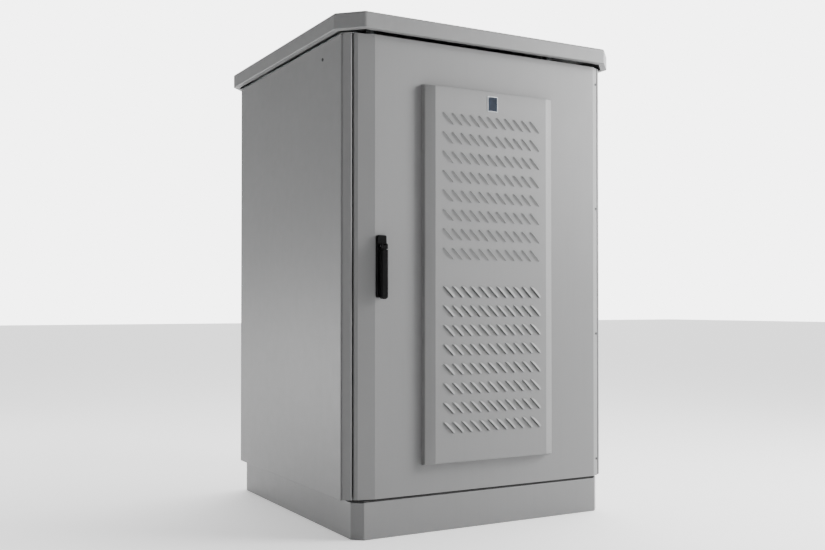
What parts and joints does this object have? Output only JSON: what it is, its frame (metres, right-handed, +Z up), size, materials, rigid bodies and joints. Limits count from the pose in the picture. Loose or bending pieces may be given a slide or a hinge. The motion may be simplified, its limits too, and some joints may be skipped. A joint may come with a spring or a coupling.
{
  "type": "outdoor battery cabinet",
  "caption": "Outdoor battery cabinet on a plinth, with a louvred fan door, swing handle, overhanging roof, and shelves of batteries inside.",
  "frame": {"origin": "on the floor, under the middle of the roof", "axes": "+Z up; the door faces -Y; +X is to the right of someone facing the door"},
  "size_m": [0.91, 0.91, 1.3675],
  "materials": {
    "grey_powder_coat": "fine-textured satin powder coat",
    "galvanised_sheet": "spangled galvanised sheet",
    "zinc_plated_steel": "bright zinc plate",
    "dark_screw_steel": "blackened screw heads",
    "black_handle_plastic": "glass-filled nylon, satin",
    "black_fan_plastic": "moulded matt black",
    "gland_plastic": "moulded nylon",
    "seal_rubber": "closed-cell foam rubber",
    "insulation_foam": "dark closed-cell foam board",
    "filter_fleece": "coarse filter fleece",
    "battery_case_plastic": "moulded flame-retardant case",
    "terminal_metal": "tinned lead alloy",
    "link_brass": "tinned copper bar, dulled",
    "panel_paint": "light satin paint",
    "breaker_plastic": "moulded off-white",
    "toggle_plastic": "moulded dark grey",
    "badge_aluminium": "blank satin plate"
  },
  "bodies": {
    "cabinet": {"base_tray": "galvanised_sheet", "batteries_lower": "battery_case_plastic", "batteries_middle": "battery_case_plastic", "batteries_upper": "battery_case_plastic", "battery_links": "link_brass", "battery_shelves": "galvanised_sheet", "battery_terminals": "terminal_metal", "breaker_panel": "panel_paint", "breakers": "breaker_plastic", "cable_glands": "gland_plastic", "front_header": "grey_powder_coat", "front_sill": "grey_powder_coat", "gland_plate": "galvanised_sheet", "hinge_frame_leaves": "zinc_plated_steel", "hinge_pins": "zinc_plated_steel", "insulation_boards": "insulation_foam", "lock_keepers": "zinc_plated_steel", "panel_brackets": "galvanised_sheet", "panel_screws": "dark_screw_steel", "plinth": "grey_powder_coat", "plinth_bolts": "zinc_plated_steel", "plinth_gasket": "seal_rubber", "post_front_left": "grey_powder_coat", "post_front_right": "grey_powder_coat", "post_rear_left": "grey_powder_coat", "post_rear_right": "grey_powder_coat", "rack_rails": "galvanised_sheet", "rear_panel": "grey_powder_coat", "retaining_bars": "galvanised_sheet", "roof_bolts": "zinc_plated_steel", "roof_cap": "grey_powder_coat", "roof_spacers": "galvanised_sheet", "side_panel_left": "grey_powder_coat", "side_panel_right": "grey_powder_coat", "top_plate": "galvanised_sheet"},
    "door": {"door_skin": "grey_powder_coat", "door_stiffeners": "galvanised_sheet", "door_gasket": "seal_rubber", "vent_cover": "grey_powder_coat", "badge": "badge_aluminium", "fan_frames": "black_fan_plastic", "fan_guards": "zinc_plated_steel", "filter_frame": "black_fan_plastic", "filter_mat": "filter_fleece", "handle_housing": "black_handle_plastic", "latch_case": "zinc_plated_steel", "rod_guides": "zinc_plated_steel", "hinge_door_leaves": "zinc_plated_steel", "hinge_screws": "dark_screw_steel"},
    "handle_spindle": {"handle_pivot": "black_handle_plastic", "handle_pin": "zinc_plated_steel", "latch_cam": "zinc_plated_steel"},
    "handle_grip": {"handle_lever": "black_handle_plastic"},
    "upper_rod": {"lock_rod_upper": "zinc_plated_steel"},
    "lower_rod": {"lock_rod_lower": "zinc_plated_steel"},
    "upper_rotor": {"fan_rotor_upper": "black_fan_plastic"},
    "lower_rotor": {"fan_rotor_lower": "black_fan_plastic"},
    "main_switch": {"breaker_toggle_main": "toggle_plastic"},
    "switch_a": {"breaker_toggle_a": "toggle_plastic"},
    "switch_b": {"breaker_toggle_b": "toggle_plastic"}
  },
  "joints": [
    {"name": "door_swing", "type": "hinge", "parent": "cabinet", "child": "door", "pos_m": [0.393, -0.406, 0.7], "axis": [0, 0, 1], "range_deg": [0, 115]},
    {"name": "handle_turn", "type": "hinge", "parent": "door", "child": "handle_spindle", "pos_m": [-0.3344, -0.43, 0.763], "axis": [0, 1, 0], "range_deg": [0, 90]},
    {"name": "handle_lift", "type": "hinge", "parent": "handle_spindle", "child": "handle_grip", "pos_m": [-0.3344, -0.442, 0.762], "axis": [-1, 0, 0], "range_deg": [0, 40]},
    {"name": "upper_rod_slide", "type": "slide", "parent": "door", "child": "upper_rod", "axis": [0, 0, -1], "range_m": [0, 0.0181]},
    {"name": "lower_rod_slide", "type": "slide", "parent": "door", "child": "lower_rod", "axis": [0, 0, 1], "range_m": [0, 0.0181]},
    {"name": "upper_fan_spin", "type": "hinge", "parent": "door", "child": "upper_rotor", "pos_m": [0, -0.394, 1.02], "axis": [0, 1, 0], "continuous": true},
    {"name": "lower_fan_spin", "type": "hinge", "parent": "door", "child": "lower_rotor", "pos_m": [0, -0.394, 0.836], "axis": [0, 1, 0], "continuous": true},
    {"name": "main_switch_turn", "type": "hinge", "parent": "cabinet", "child": "main_switch", "pos_m": [-0.018, -0.319, 1.217], "axis": [1, 0, 0], "range_deg": [0, 50]},
    {"name": "switch_a_turn", "type": "hinge", "parent": "cabinet", "child": "switch_a", "pos_m": [0.0185, -0.319, 1.217], "axis": [1, 0, 0], "range_deg": [0, 50]},
    {"name": "switch_b_turn", "type": "hinge", "parent": "cabinet", "child": "switch_b", "pos_m": [0.045, -0.319, 1.217], "axis": [1, 0, 0], "range_deg": [0, 50]}
  ],
  "couplings": [
    {"joint": "upper_rod_slide", "follows": "handle_turn", "m_per_rad": 0.011434},
    {"joint": "lower_rod_slide", "follows": "handle_turn", "m_per_rad": 0.011434}
  ]
}
